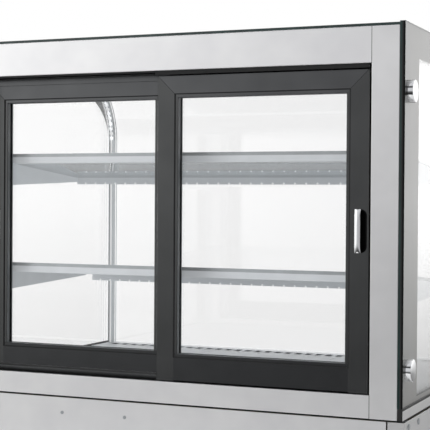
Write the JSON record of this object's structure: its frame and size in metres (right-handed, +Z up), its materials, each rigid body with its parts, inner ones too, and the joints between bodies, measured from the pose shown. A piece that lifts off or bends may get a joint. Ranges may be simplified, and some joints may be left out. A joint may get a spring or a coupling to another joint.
{
  "type": "refrigerated display case",
  "caption": "Floor-standing refrigerated display case with a bent glass front, insulated side glass, tilted glass shelves and two sliding glass doors over a steel machine base.",
  "frame": {"origin": "on the floor under the middle of the case", "axes": "+Z up, the sliding doors face -Y, the bent glass on the customer side faces +Y, +X to the right of a person facing the doors"},
  "size_m": [1.153, 0.8166, 1.3385],
  "materials": {
    "stainless": "brushed satin",
    "base_steel": "brushed satin",
    "anodised_dark": "dark anodised, satin",
    "float_glass": "clear polished, green edge",
    "edge_seal": "matt black",
    "chrome": "polished",
    "zinc_steel": "galvanised",
    "lamp_aluminium": "satin anodised",
    "black_plastic": "moulded, fine grain",
    "display_window": "smoked, polished",
    "foam": "foam",
    "compressor_black": "satin black enamel",
    "coil_aluminium": "mill finish",
    "copper": "drawn copper tube",
    "brush_pile": "dense pile"
  },
  "bodies": {
    "root": {"air_grilles": "stainless", "base_floor": "zinc_steel", "base_frame": "zinc_steel", "base_front_panel": "base_steel", "base_rear_panel": "base_steel", "base_seal": "edge_seal", "base_side_panel_left": "base_steel", "base_side_panel_right": "base_steel", "compressor": "compressor_black", "condensate_tray": "zinc_steel", "condenser": "coil_aluminium", "condenser_shroud": "compressor_black", "control_bezel": "black_plastic", "control_display": "display_window", "deck_plates": "stainless", "door_brush_seal": "brush_pile", "door_tracks": "anodised_dark", "evaporator": "coil_aluminium", "evaporator_fan_plate": "zinc_steel", "glass_bosses": "chrome", "glass_edge_seals": "edge_seal", "glass_rails": "stainless", "header": "stainless", "hood_glass": "float_glass", "panel_screws": "base_steel", "post_left": "stainless", "post_right": "stainless", "power_inlet": "black_plastic", "refrigerant_pipes": "copper", "roof_lamp": "lamp_aluminium", "shelf_frames": "zinc_steel", "shelf_glasses": "float_glass", "shelf_lights": "lamp_aluminium", "shelf_uprights": "zinc_steel", "side_glass_left": "float_glass", "side_glass_right": "float_glass", "sill": "stainless", "switch_frame": "black_plastic", "well_insulation": "foam", "well_liner": "zinc_steel"},
    "door_left": {"door_left_frame": "anodised_dark", "door_left_glass": "float_glass", "door_left_gasket": "edge_seal", "door_left_handle": "chrome", "door_left_glides": "black_plastic"},
    "door_right": {"door_right_frame": "anodised_dark", "door_right_glass": "float_glass", "door_right_gasket": "edge_seal", "door_right_handle": "chrome", "door_right_glides": "black_plastic"},
    "evaporator_fan_left": {"evaporator_fan_left": "black_plastic"},
    "evaporator_fan_right": {"evaporator_fan_right": "black_plastic"},
    "condenser_fan": {"condenser_fan": "black_plastic"},
    "foot_rear_left": {"foot_rear_left": "zinc_steel"},
    "foot_rear_right": {"foot_rear_right": "zinc_steel"},
    "foot_front_left": {"foot_front_left": "zinc_steel"},
    "foot_front_right": {"foot_front_right": "zinc_steel"},
    "switch_rocker": {"switch_rocker": "black_plastic"},
    "key_up": {"control_key_up": "black_plastic"},
    "key_down": {"control_key_down": "black_plastic"}
  },
  "joints": [
    {"name": "door_left_slide", "type": "slide", "parent": "root", "child": "door_left", "axis": [1, 0, 0], "range_m": [0, 0.468]},
    {"name": "door_right_slide", "type": "slide", "parent": "root", "child": "door_right", "axis": [-1, 0, 0], "range_m": [0, 0.468]},
    {"name": "evaporator_fan_left_spin", "type": "hinge", "parent": "root", "child": "evaporator_fan_left", "pos_m": [-0.16, -0.08975, 0.412], "axis": [0, 1, 0], "continuous": true},
    {"name": "evaporator_fan_right_spin", "type": "hinge", "parent": "root", "child": "evaporator_fan_right", "pos_m": [0.16, -0.08975, 0.412], "axis": [0, 1, 0], "continuous": true},
    {"name": "condenser_fan_spin", "type": "hinge", "parent": "root", "child": "condenser_fan", "pos_m": [-0.31, -0.28575, 0.18], "axis": [0, 1, 0], "continuous": true},
    {"name": "foot_rear_left_turn", "type": "hinge", "parent": "root", "child": "foot_rear_left", "pos_m": [-0.5055, -0.34175, 0], "axis": [0, 0, 1], "continuous": true},
    {"name": "foot_rear_right_turn", "type": "hinge", "parent": "root", "child": "foot_rear_right", "pos_m": [0.5055, -0.34175, 0], "axis": [0, 0, 1], "continuous": true},
    {"name": "foot_front_left_turn", "type": "hinge", "parent": "root", "child": "foot_front_left", "pos_m": [-0.5055, 0.34625, 0], "axis": [0, 0, 1], "continuous": true},
    {"name": "foot_front_right_turn", "type": "hinge", "parent": "root", "child": "foot_front_right", "pos_m": [0.5055, 0.34625, 0], "axis": [0, 0, 1], "continuous": true},
    {"name": "switch_rock", "type": "hinge", "parent": "root", "child": "switch_rocker", "pos_m": [0.42, -0.40175, 0.228], "axis": [1, 0, 0], "range_deg": [-7, 7]},
    {"name": "key_up_press", "type": "slide", "parent": "root", "child": "key_up", "axis": [0, 1, 0], "range_m": [0, 0.001], "stiffness_N_per_m": 500},
    {"name": "key_down_press", "type": "slide", "parent": "root", "child": "key_down", "axis": [0, 1, 0], "range_m": [0, 0.001], "stiffness_N_per_m": 500}
  ]
}
